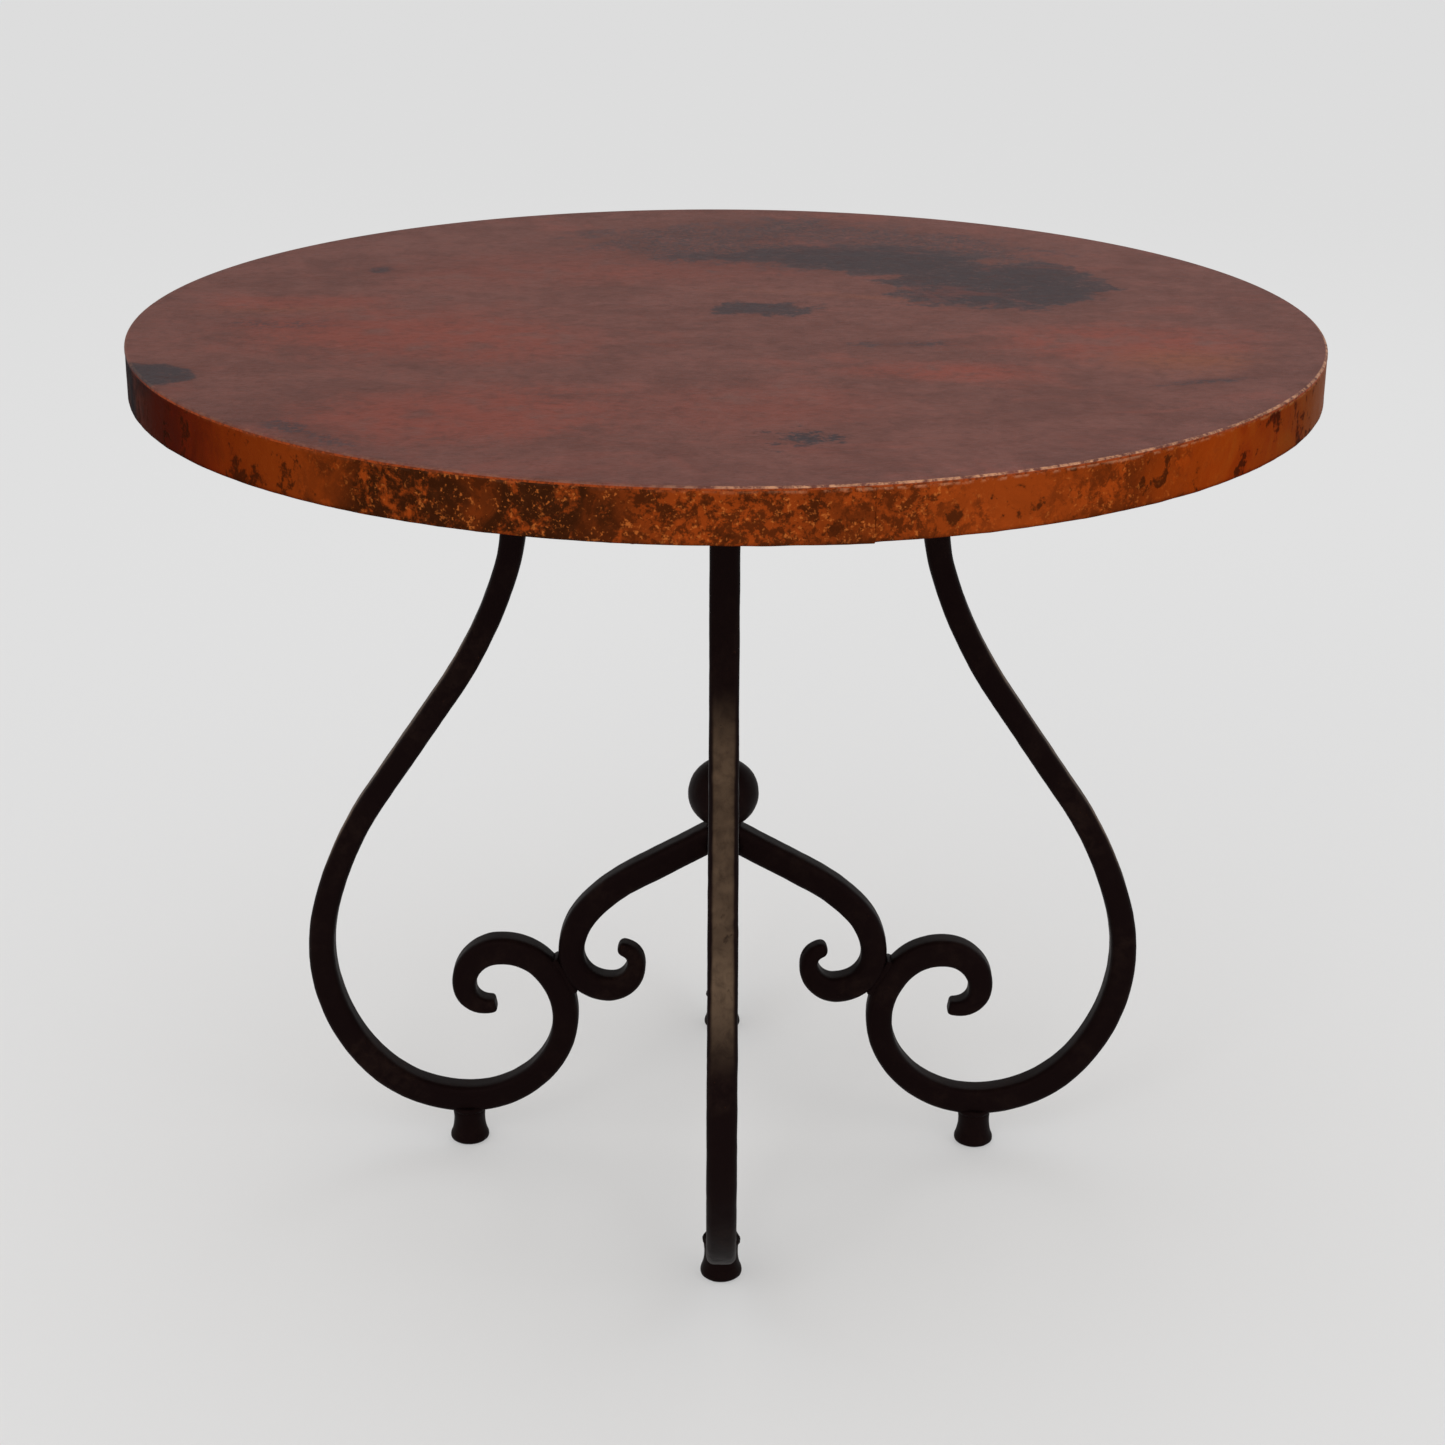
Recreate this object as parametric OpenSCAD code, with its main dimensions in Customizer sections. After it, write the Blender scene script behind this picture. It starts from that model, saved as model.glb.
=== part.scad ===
// Round copper-clad table on a forged iron scroll base: four legs, four arms, one ball.
// Millimetres, +Z up, floor at z = 0, the front of the table towards -Y.

/* [Top] */
// Diameter of the round top over the copper apron
top_d = 970; // [860:5:1170]
// Height of the top face above the floor
height = 760; // [640:5:915]
// Depth of the copper apron below the top face
apron_h = 42; // [36:1:60]
// Thickness of the copper sheet
sheet_t = 1.2; // [0.8:0.1:1.6]
// Thickness of the plywood core
core_t = 18; // [15:1:21]
// Radial width of the wooden rim glued under the core
rim_w = 62; // [45:1:90]
// Radial width of the hem folded under the rim
hem_w = 16; // [12:1:22]
// Number of tacks holding the hem
tack_n = 24; // [16:4:32]
// Turn of the apron seam to the right of the front
seam_a = 12; // [0:1:40]

/* [Bars] */
// Thickness of the leg bar in the plane of its scroll
bar_t = 25; // [21:0.5:30]
// Width of the leg bar across its scroll
bar_w = 24; // [20:0.5:28]
// Thickness of the arm bar in the plane of its scroll
arm_t = 24; // [20:0.5:28]
// Width of the arm bar across its scroll
arm_w = 24; // [20:0.5:28]
// Depth to which an arm is let into the side of its leg
bite = 1.5; // [0.5:0.5:4]

/* [Leg bends] */
// Radius of the circle the four feet stand on
foot_circle = 230; // [192:1:276]
// Bend radius of the outward sweep just above the foot
sweep_r = 115; // [96:1:138]
// Bend radius of the belly where the leg reaches furthest out
belly_r = 165; // [138:1:198]
// Bend radius where the belly eases into the rising run
ease_r = 340; // [284:1:408]
// Length of the straight rising run
rise_l = 118; // [98:1:142]
// Bend radius of the waist that turns the run upright
waist_r = 420; // [350:5:504]
// Bend radius of the neck under the top
neck_r = 180; // [150:1:216]
// Bend radius of the inward sweep just above the foot
bowl_r = 92; // [84:1:110]
// Bend radius of the scroll's back, which the arm leans on
back_r = 74; // [66:1:88]
// Bend radius of the scroll's shoulder
shoulder_r = 48; // [42:1:58]
// Bend radius of the scroll's crown
crown_r = 33; // [28:1:39]
// Bend radius of the scroll's tip
tip_r = 20; // [18:1:24]

/* [Arm bends] */
// Bend radius of the arm where it turns in towards the axis
bow_r = 64; // [54:1:76]
// Bend radius of the arm's easing into its straight run
reach_r = 150; // [125:1:180]
// Bend radius of the arm's curl beside the leg
curl_r = 34; // [30:1:40]
// Bend radius of the arm's inner curl
inner_r = 24; // [21:1:28]
// Bend radius of the arm's hooked tip
hook_r = 14; // [12:0.5:17]

/* [Fittings] */
// Diameter of the foot stub
foot_d = 31; // [28:0.5:36]
// Height of the leg's underside above the floor
foot_h = 30.5; // [26:0.5:36]
// Depth to which the leg sits in the foot stub
foot_seat = 3; // [1:0.5:5]
// Side of the square hub the arms butt against
hub_w = 24; // [20:0.5:28]
// Diameter of the ball on the hub
ball_d = 62; // [54:1:72]
// Diameter of the tenon the ball sits on
tenon_d = 14; // [12:0.5:18]
// Length of the tenon
tenon_l = 26; // [20:1:32]
// Radial width of the flat iron ring under the top
ring_w = 50; // [40:1:60]
// Thickness of the flat iron ring
ring_t = 6; // [5:0.5:8]
// Shank diameter of the ring screws
screw_d = 5; // [4:0.5:6]
// Head diameter of the ring screws
screw_head = 11; // [9:0.5:14]

/* [Hidden] */
$fn = 96;
step = 5;
eps = 0.01;
R = top_d/2;
z_core = height - sheet_t - core_t;
z_apron = height - apron_h;
z_ring = z_core - ring_t;
z_low = foot_h + bar_t/2;
tack_c = R - sheet_t - hem_w/2;
// Shares of the bar's thickness left where the smith drew it down or jumped it up.
run_k = 0.85;
back_k = 0.89;
lean_k = 0.97;
shoulder_k = 1.05;
crown_k = 0.84;
tip_k = 0.55;
plumb_k = 0.95;
reach_k = 1.03;
curl_k = 1.04;
inner_k = 0.74;
hook_k = 0.6;

// A path point is [r, z, heading, thickness]; a run is [radius, turn, t0, t1] or, when
// straight, [0, length, t0, t1].
function on_run(s, g, u) =
  let (t = g[2] + (g[3] - g[2])*u)
  g[0] == 0
    ? [s[0] + g[1]*u*cos(s[2]), s[1] + g[1]*u*sin(s[2]), s[2], t]
    : let (q = sign(g[1])*g[0], k = s[2] + g[1]*u)
      [s[0] + q*(sin(k) - sin(s[2])), s[1] - q*(cos(k) - cos(s[2])), k, t];
function cuts(g) = g[0] == 0 ? 1 : ceil(abs(g[1])/step);
function walk(s, gs, i = 0) =
  i >= len(gs)
    ? [s]
    : concat(
        [for (k = [0:cuts(gs[i]) - 1]) on_run(s, gs[i], k/cuts(gs[i]))],
        walk(on_run(s, gs[i], 1), gs, i + 1));
function last(v) = v[len(v) - 1];
function backwards(v) = [for (i = [len(v) - 1:-1:0]) [v[i][0], v[i][1], v[i][2] + 180, v[i][3]]];
function side(v, q) =
  [for (p = v) [p[0] - q*p[3]/2*sin(p[2]), p[1] + q*p[3]/2*cos(p[2])]];
function reversed(v) = [for (i = [len(v) - 1:-1:0]) v[i]];
// Round nose across the end of a bar, from its left side to its right side.
function nose(p) =
  [for (k = [1:5]) let (a = p[2] + 90 - 30*k)
    [p[0] + p[3]/2*cos(a), p[1] + p[3]/2*sin(a)]];

// Leg centreline, from its lowest point out and up, and from the same point in and round.
leg_start = [foot_circle, z_low, 0, bar_t];
leg_bends = [
  [sweep_r, 50, bar_t, bar_t],
  [belly_r, 54, bar_t, bar_t*0.9],
  [ease_r, 20, bar_t*0.9, bar_t*run_k],
  [0, rise_l, bar_t*run_k, bar_t*run_k],
  [waist_r, -16, bar_t*run_k, bar_t*run_k],
  [neck_r, -18, bar_t*run_k, bar_t*back_k]];
leg_neck = last(walk(leg_start, leg_bends));
leg_up = walk(leg_start, concat(leg_bends, [[0, z_ring - leg_neck[1], bar_t*back_k, bar_t]]));
leg_in = walk([foot_circle, z_low, 180, bar_t], [
  [bowl_r, -58, bar_t, bar_t*back_k],
  [back_r, -75, bar_t*back_k, bar_t],
  [shoulder_r, -56, bar_t, bar_t*shoulder_k],
  [crown_r, -90, bar_t*shoulder_k, bar_t*crown_k],
  [tip_r, -104, bar_t*crown_k, bar_t*tip_k]]);
leg_line = concat(backwards(leg_in), [for (i = [1:len(leg_up) - 1]) leg_up[i]]);
leg_shape = concat(side(leg_line, 1), reversed(side(leg_line, -1)), nose(last(leg_in)));
r_top = leg_neck[0];

// Arm centreline: it leans on the back of the scroll, 29 degrees below the line of centres.
back_c = let (s = on_run([foot_circle, z_low, 180, 0], [bowl_r, -58, 0, 0], 1))
  [s[0] + back_r*sin(s[2]), s[1] - back_r*cos(s[2])];
lean = back_r + curl_r + lean_k*(bar_t + arm_t)/2 - bite;
arm_start = [back_c[0] - lean*cos(29) + curl_r, back_c[1] + lean*sin(29), 90, arm_t*plumb_k];
arm_bends = [
  [bow_r, 41, arm_t*plumb_k, arm_t],
  [reach_r, 20, arm_t, arm_t*reach_k]];
arm_bend_end = last(walk(arm_start, arm_bends));
arm_run = (arm_bend_end[0] - hub_w/2 + arm_t/4)/abs(cos(arm_bend_end[2]));
arm_up = walk(arm_start, concat(arm_bends, [[0, arm_run, arm_t*reach_k, arm_t*reach_k]]));
arm_down = walk([arm_start[0], arm_start[1], -90, arm_start[3]], [
  [curl_r, -90, arm_start[3], arm_t*curl_k],
  [inner_r, -90, arm_t*curl_k, arm_t*inner_k],
  [hook_r, -84, arm_t*inner_k, arm_t*hook_k]]);
arm_line = concat(backwards(arm_down), [for (i = [1:len(arm_up) - 1]) arm_up[i]]);
arm_shape = concat(side(arm_line, 1), reversed(side(arm_line, -1)), nose(last(arm_down)));
// Heights where the arm's upper and lower faces meet the hub's side.
arm_z = arm_bend_end[1] + (hub_w/2 - arm_bend_end[0])*tan(arm_bend_end[2]);
arm_half = arm_t*reach_k/2/abs(cos(arm_bend_end[2]));
hub_top = arm_z + arm_half + 0.5;
hub_low = arm_z - arm_half - 1;
ball_seat = tenon_d*1.05;
ball_z = hub_top + sqrt(pow(ball_d/2, 2) - pow(ball_seat, 2));

module turned(i) {
  rotate([0, 0, 90*i])
    children();
}

// A bar standing in the x-z plane, centred on y = 0.
module bar(shape, w) {
  translate([0, w/2, 0])
    rotate([90, 0, 0])
      linear_extrude(height = w)
        polygon(shape);
}

module leg_blank() {
  bar(leg_shape, bar_w);
}

module leg_any(i) {
  color([0.10, 0.085, 0.075])
    turned(i)
      leg_blank();
}

// The arm is coped where it is let into the leg and cut plumb where it butts on the hub.
module arm_any(i) {
  color([0.11, 0.09, 0.08])
    turned(i)
      difference() {
        bar(arm_shape, arm_w);
        bar(leg_shape, bar_w + 10);
        translate([hub_w/2 - 50, -50, hub_low - 100])
          cube([50, 100, 400]);
      }
}

// Foot stub: flared at the floor, saddled at the top for the leg's round underside.
module foot_any(i) {
  color([0.09, 0.08, 0.07])
    turned(i)
      difference() {
        translate([foot_circle, 0, 0])
          rotate_extrude()
            polygon([
              [0, 0], [foot_d/2 + 1.2, 0], [foot_d/2 + 2, 1.2], [foot_d/2 + 2, 4],
              [foot_d/2, 9], [foot_d/2, foot_h + foot_seat - 2],
              [foot_d/2 - 2, foot_h + foot_seat], [0, foot_h + foot_seat]]);
        leg_blank();
      }
}

module hub() {
  color([0.12, 0.10, 0.09]) {
    translate([-hub_w/2, -hub_w/2, hub_low])
      cube([hub_w, hub_w, hub_top - hub_low]);
    translate([0, 0, hub_top - eps])
      cylinder(d = tenon_d, h = tenon_l + eps);
  }
}

module ball() {
  color([0.11, 0.095, 0.08])
    difference() {
      translate([0, 0, ball_z])
        sphere(d = ball_d);
      translate([-ball_d, -ball_d, hub_top - 2*ball_d])
        cube([2*ball_d, 2*ball_d, 2*ball_d]);
      translate([0, 0, hub_top - 1])
        cylinder(d = tenon_d, h = tenon_l + 2);
    }
}

// Two screws between each pair of legs, on the middle of the ring.
module at_screws() {
  for (i = [0:3])
    for (s = [-1, 1])
      rotate([0, 0, 90*i + 45 + s*18])
        translate([r_top, 0, 0])
          children();
}

module top_ring() {
  color([0.13, 0.11, 0.10])
    translate([0, 0, z_ring])
      difference() {
        cylinder(r = r_top + ring_w/2, h = ring_t, $fn = 180);
        translate([0, 0, -1])
          cylinder(r = r_top - ring_w/2, h = ring_t + 2, $fn = 180);
        at_screws()
          translate([0, 0, -1])
            cylinder(d = screw_d + 0.6, h = ring_t + 2, $fn = 32);
      }
}

module ring_screws() {
  color([0.30, 0.28, 0.26])
    at_screws()
      translate([0, 0, z_ring])
        difference() {
          union() {
            translate([0, 0, -3])
              cylinder(d1 = screw_head - 2, d2 = screw_head, h = 3, $fn = 48);
            translate([0, 0, -eps])
              cylinder(d = screw_d, h = ring_t + core_t*0.7, $fn = 32);
          }
          translate([-screw_head, -0.7, -4])
            cube([2*screw_head, 1.4, 2.2]);
        }
}

module plywood_core() {
  color([0.62, 0.45, 0.28])
    translate([0, 0, z_core])
      difference() {
        cylinder(r = R - sheet_t, h = core_t, $fn = 240);
        at_screws()
          translate([0, 0, -1])
            cylinder(d = screw_d, h = core_t*0.7 + 1, $fn = 32);
      }
}

module at_tacks() {
  for (i = [0:tack_n - 1])
    rotate([0, 0, (i + 0.5)*360/tack_n])
      translate([tack_c, 0, 0])
        children();
}

module rim_any(i) {
  color([0.66, 0.49, 0.31])
    difference() {
      turned(i)
        rotate_extrude(angle = 90, $fn = 240)
          translate([R - sheet_t - rim_w, z_apron + sheet_t])
            square([rim_w, z_core - z_apron - sheet_t]);
      at_tacks()
        translate([0, 0, z_apron])
          cylinder(d = 2, h = 12, $fn = 24);
    }
}

module copper_top_sheet() {
  color([0.38, 0.15, 0.11])
    translate([0, 0, height - sheet_t])
      cylinder(r = R, h = sheet_t, $fn = 240);
}

// The apron strip with its hem folded under, and the lap of its one seam.
module apron_band() {
  color([0.72, 0.36, 0.17])
    difference() {
      rotate_extrude($fn = 240)
        polygon([
          [R - sheet_t - hem_w, z_apron], [R, z_apron], [R, height - sheet_t],
          [R - sheet_t, height - sheet_t], [R - sheet_t, z_apron + sheet_t],
          [R - sheet_t - hem_w, z_apron + sheet_t]]);
      rotate([0, 0, seam_a - 90])
        translate([R - sheet_t/2, -0.5, z_apron - 1])
          cube([sheet_t, 1, apron_h + 2]);
      at_tacks()
        translate([0, 0, z_apron - 1])
          cylinder(d = 2, h = 4, $fn = 24);
    }
}

module hem_tacks() {
  color([0.55, 0.30, 0.16])
    at_tacks()
      translate([0, 0, z_apron])
        union() {
          translate([0, 0, -1.6])
            cylinder(d1 = 4, d2 = 8, h = 1.6, $fn = 36);
          translate([0, 0, -eps])
            cylinder(d = 2, h = 12, $fn = 24);
        }
}

copper_top_sheet();
apron_band();
hem_tacks();
plywood_core();
rim_quarter_1();
rim_quarter_2();
rim_quarter_3();
rim_quarter_4();
top_ring();
ring_screws();
leg_right();
leg_back();
leg_left();
leg_front();
arm_right();
arm_back();
arm_left();
arm_front();
foot_right();
foot_back();
foot_left();
foot_front();
hub();
ball();

module rim_quarter_1() {
  rim_any(0);
}

module rim_quarter_2() {
  rim_any(1);
}

module rim_quarter_3() {
  rim_any(2);
}

module rim_quarter_4() {
  rim_any(3);
}

module leg_right() {
  leg_any(0);
}

module leg_back() {
  leg_any(1);
}

module leg_left() {
  leg_any(2);
}

module leg_front() {
  leg_any(3);
}

module arm_right() {
  arm_any(0);
}

module arm_back() {
  arm_any(1);
}

module arm_left() {
  arm_any(2);
}

module arm_front() {
  arm_any(3);
}

module foot_right() {
  foot_any(0);
}

module foot_back() {
  foot_any(1);
}

module foot_left() {
  foot_any(2);
}

module foot_front() {
  foot_any(3);
}
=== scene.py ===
"""Round copper-topped table on a forged iron scroll base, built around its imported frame."""
import math

import bpy
from mathutils import Matrix, Vector


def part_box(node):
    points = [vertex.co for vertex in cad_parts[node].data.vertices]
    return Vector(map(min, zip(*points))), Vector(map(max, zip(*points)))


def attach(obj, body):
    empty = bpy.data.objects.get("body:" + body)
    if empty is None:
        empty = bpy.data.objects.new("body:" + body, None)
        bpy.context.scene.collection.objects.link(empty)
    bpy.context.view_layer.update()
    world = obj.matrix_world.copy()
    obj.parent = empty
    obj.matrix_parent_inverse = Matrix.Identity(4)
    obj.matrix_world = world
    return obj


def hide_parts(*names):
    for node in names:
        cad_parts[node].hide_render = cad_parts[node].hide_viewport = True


bl_info = {
    "name": "Copper Scroll Table",
    "version": (1, 0, 0),
    "blender": (4, 5, 0),
    "location": "View3D > Sidebar > Table",
    "description": "Builds a copper-clad round table on a forged scroll base",
    "category": "Add Mesh",
}

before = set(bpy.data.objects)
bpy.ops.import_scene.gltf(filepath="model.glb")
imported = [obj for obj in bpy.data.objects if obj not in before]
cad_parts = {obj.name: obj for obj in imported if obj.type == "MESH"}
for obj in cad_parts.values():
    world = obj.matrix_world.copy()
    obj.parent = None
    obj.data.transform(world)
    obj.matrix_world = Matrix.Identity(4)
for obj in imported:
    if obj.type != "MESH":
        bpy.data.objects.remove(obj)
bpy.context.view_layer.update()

SIDES = ("right", "back", "left", "front")
QUARTER = math.radians(90)


# ------------------------------------------------------------------ sizes from the frame

def span(node, axis):
    """Lowest and highest coordinate of a node along one axis."""
    low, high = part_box(node)
    return low[axis], high[axis]


TOP_Z = span("copper_top_sheet", 2)[1]
TOP_R = span("copper_top_sheet", 0)[1]
SHEET = TOP_Z - span("copper_top_sheet", 2)[0]
APRON_Z = span("apron_band", 2)[0]
RING_Z = span("top_ring", 2)[0]
BAR_W = span("leg_right", 1)[1] * 2
LOW_Z = span("leg_right", 2)[0]
FOOT_LOW, FOOT_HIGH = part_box("foot_right")
FOOT_X = (FOOT_LOW.x + FOOT_HIGH.x) / 2
FOOT_R = (FOOT_HIGH.x - FOOT_LOW.x) / 2
HUB_W = span("hub", 1)[1] * 2
ARM_W = span("arm_right", 1)[1] * 2
BALL_SEAT = span("ball", 2)[0]
BALL_TOP = span("ball", 2)[1]


# ------------------------------------------------------------------ bends of the bars

# A leg's bends outwards and up from its foot, and the straight run between them.
SWEEP_R = 0.115
BELLY_R = 0.165
EASE_R = 0.340
RISE = 0.118
WAIST_R = 0.420
NECK_R = 0.180
# A leg's bends inwards from its foot, round the scroll.
BOWL_R = 0.092
BOWL_TURN = 58
BACK_R = 0.074
SHOULDER_R = 0.048
CROWN_R = 0.033
TIP_R = 0.020
# An arm's bends up to the hub, and down round its hook.
BOW_R = 0.064
REACH_R = 0.150
CURL_R = 0.034
INNER_R = 0.024
HOOK_R = 0.014
# Shares of the bar's thickness left along the leg's run and back and along the arm's rise and reach.
RUN_SHARE = 0.85
BACK_SHARE = 0.89
PLUMB_SHARE = 0.95
REACH_SHARE = 1.03
# Where the arm leans on the scroll's back: the rise of the line from the back's centre to the curl's,
# the share of the two bars' thickness left there, and the depth to which the arm is let in.
LEAN = math.radians(29)
LEAN_SHARE = 0.97
BITE = 0.0015

# Weld metal: the wedge's thickness, width and length, and half the thickness of the two beads.
WEDGE = (0.0070, 0.0205, 0.0375)
FOOT_BEAD = 0.0026
HUB_BEAD = 0.0030

# Copper work: width of the hem and radii of the folds.
HEM = 0.016
TOP_FOLD = 0.0016
APRON_FOLD = 0.0018

# Camera: place, focal length in millimetres, dip below level and roll in degrees.
CAMERA_PLACE = (-0.0012, -2.313, 1.292)
LENS = 71.34
DIP = 20.93
ROLL = 0.31


# ------------------------------------------------------------------ settings

def length(name, description, default):
    """A length in metres that a user may change."""
    return bpy.props.FloatProperty(
        name=name, description=description, default=default, min=0.0, unit="LENGTH", precision=4)


def colour(name, description, default):
    """A colour that a user may change."""
    return bpy.props.FloatVectorProperty(
        name=name, description=description, default=default, size=3, min=0.0, max=1.0,
        subtype="COLOR")


class TableSizes(bpy.types.PropertyGroup):
    """Sizes of the forging and of the copper work."""
    bar: length("Bar", "Thickness of the leg bar in the plane of its scroll", 0.025)
    arm_bar: length("Arm bar", "Thickness of the arm bar in the plane of its scroll", 0.024)
    corner: length("Corner", "Radius of the bars' worn corners", 0.0062)
    hammer: length("Hammering", "Depth of the hammer marks on the iron", 0.0007)
    lip: length("Lip", "Depth of the top sheet's edge turned down over the apron", 0.0030)
    waviness: length("Waviness", "Height of the top sheet's slow waves", 0.0005)
    lap: length("Lap", "Step of the apron's lapped seam", 0.0010)
    seam: bpy.props.FloatProperty(
        name="Seam", description="Turn of the apron's seam from the right of the table",
        default=math.radians(-78), subtype="ANGLE")


class TableColours(bpy.types.PropertyGroup):
    """Colours of the patinas, the iron and the wood."""
    top: colour("Top", "Red-brown patina of the top", (0.180, 0.070, 0.055))
    top_red: colour("Top, red", "Redder, thinner patina of the top", (0.250, 0.065, 0.045))
    top_orange: colour("Top, orange", "Bare-looking patches near the right edge", (0.275, 0.090, 0.046))
    top_slate: colour("Top, slate", "Blue-grey heat marks on the top", (0.058, 0.049, 0.053))
    # Also a painted highlight: the bright line along the top's rim and the apron's top edge is mostly
    # light caught at the front.
    worn: colour("Worn edge", "Rubbed bright copper along the rim", (0.72, 0.36, 0.20))
    apron: colour("Apron", "Orange-brown copper of the apron", (0.375, 0.060, 0.0078))
    apron_dark: colour("Apron, dark", "Dark mottling of the apron", (0.040, 0.012, 0.0040))
    apron_gold: colour("Apron, gold", "Olive-gold copper at the apron's right", (0.330, 0.110, 0.022))
    apron_ink: colour("Apron, ink", "Blue-black copper at the apron's left", (0.020, 0.018, 0.024))
    iron: colour("Iron", "Oil-blackened forged iron", (0.0075, 0.0036, 0.0036))
    # Painted sheen: this lighter brown is painted on the legs' outward faces in place of a reflection.
    iron_rubbed: colour("Iron, rubbed", "Rubbed brown fronts of the legs", (0.150, 0.098, 0.062))
    iron_brown: colour("Iron, brown", "Brown bloom on the iron", (0.022, 0.012, 0.009))
    wood: colour("Wood", "Bare plywood and pine under the top", (0.50, 0.34, 0.19))
    floor: colour("Floor", "Pale studio floor", (0.46, 0.46, 0.46))


# ------------------------------------------------------------------ modelling helpers

def nothing_selected():
    """Leaves edit mode and clears the selection."""
    if bpy.context.object is not None and bpy.context.object.mode != "OBJECT":
        bpy.ops.object.mode_set(mode="OBJECT")
    bpy.ops.object.select_all(action="DESELECT")


def only(piece):
    """Makes piece the one selected, active object."""
    nothing_selected()
    piece.select_set(True)
    bpy.context.view_layer.objects.active = piece


def settle(piece, name):
    """Names a piece and puts its place, turn and size into its mesh."""
    only(piece)
    bpy.ops.object.transform_apply(location=True, rotation=True, scale=True)
    piece.name = name
    piece.data.name = name
    return piece


def outward(piece):
    """Merges doubles and turns every face outwards."""
    only(piece)
    bpy.ops.object.mode_set(mode="EDIT")
    bpy.ops.mesh.select_all(action="SELECT")
    bpy.ops.mesh.remove_doubles(threshold=0.00002)
    bpy.ops.mesh.normals_make_consistent(inside=False)
    bpy.ops.object.mode_set(mode="OBJECT")


def apply_modifier(piece, kind, **settings):
    """Adds a modifier, sets it and applies it."""
    only(piece)
    modifier = piece.modifiers.new(kind.lower(), kind)
    for key, value in settings.items():
        setattr(modifier, key, value)
    bpy.ops.object.modifier_apply(modifier=modifier.name)


def smooth(piece, angle):
    """Smooth shading, with edges sharper than angle left crisp."""
    only(piece)
    bpy.ops.object.shade_smooth_by_angle(angle=math.radians(angle))


def rounder(piece):
    """One pass of subdivision, applied."""
    apply_modifier(piece, "SUBSURF", levels=1, render_levels=1)


def hammered(piece, depth, size, mid_level=0.5, **settings):
    """Shallow dents along the piece's normals, unless the settings narrow or turn them."""
    texture = bpy.data.textures.new(piece.name + "_marks", "CLOUDS")
    texture.noise_scale = size
    apply_modifier(piece, "DISPLACE", texture=texture, strength=depth, mid_level=mid_level,
                   texture_coords="LOCAL", **settings)


def repeated(piece, names):
    """Copies of piece turned a quarter each about the table's axis, each with its own mesh."""
    copies = [piece]
    for turn, name in enumerate(names[1:], start=1):
        only(piece)
        bpy.ops.object.duplicate(linked=False)
        copy = bpy.context.object
        copy.data.transform(Matrix.Rotation(turn * QUARTER, 4, "Z"))
        copy.name = name
        copy.data.name = name
        copies.append(copy)
    piece.name = names[0]
    piece.data.name = names[0]
    return copies


def deliver(piece, slot, material, *nodes):
    """Hands a finished piece over: its body, the nodes it stands for, its finish; the slot argument is
    not used.
    """
    piece.data.materials.clear()
    piece.data.materials.append(material)
    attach(piece, "root")
    if nodes:
        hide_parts(*nodes)


def deliver_round(piece, prefix, material, node=None):
    """Copies an iron piece round the table and hands every copy over."""
    copies = repeated(piece, [prefix + side for side in SIDES])
    for copy, side in zip(copies, SIDES):
        nodes = [node + side] if node else []
        deliver(copy, "forged_iron", finish(material), *nodes)


def ring_steps(centre, steps):
    """Extrudes the selected ring once for each (radius share, rise), about an upright axis."""
    x, y, z = centre
    for share, rise in steps:
        bpy.ops.mesh.extrude_region_move(TRANSFORM_OT_translate={"value": (0, 0, rise)})
        z += rise
        bpy.ops.transform.resize(value=(share, share, 1), center_override=(x, y, z))


def walk_rings(radius, height, rings):
    """Extrudes the selected ring through each (radius, height), about the table's axis."""
    for r, z in rings:
        ring_steps((0, 0, height), [(r / radius, z - height)])
        radius, height = r, z


def turned(name, centre, profile, segments):
    """A turned piece: rings at (radius, height), closed by fans at both ends."""
    nothing_selected()
    radius, height = profile[0]
    x, y = centre
    bpy.ops.mesh.primitive_circle_add(
        vertices=segments, radius=radius, location=(x, y, height), fill_type="TRIFAN")
    piece = settle(bpy.context.object, name)
    bpy.ops.object.mode_set(mode="EDIT")
    bpy.ops.mesh.select_all(action="SELECT")
    bpy.ops.mesh.region_to_loop()
    steps = []
    for (r0, z0), (r1, z1) in zip(profile, profile[1:]):
        steps.append((r1 / r0, z1 - z0))
    ring_steps((x, y, height), steps)
    bpy.ops.mesh.edge_face_add()
    bpy.ops.mesh.poke()
    bpy.ops.object.mode_set(mode="OBJECT")
    outward(piece)
    return piece


# ------------------------------------------------------------------ forging a bar

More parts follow.
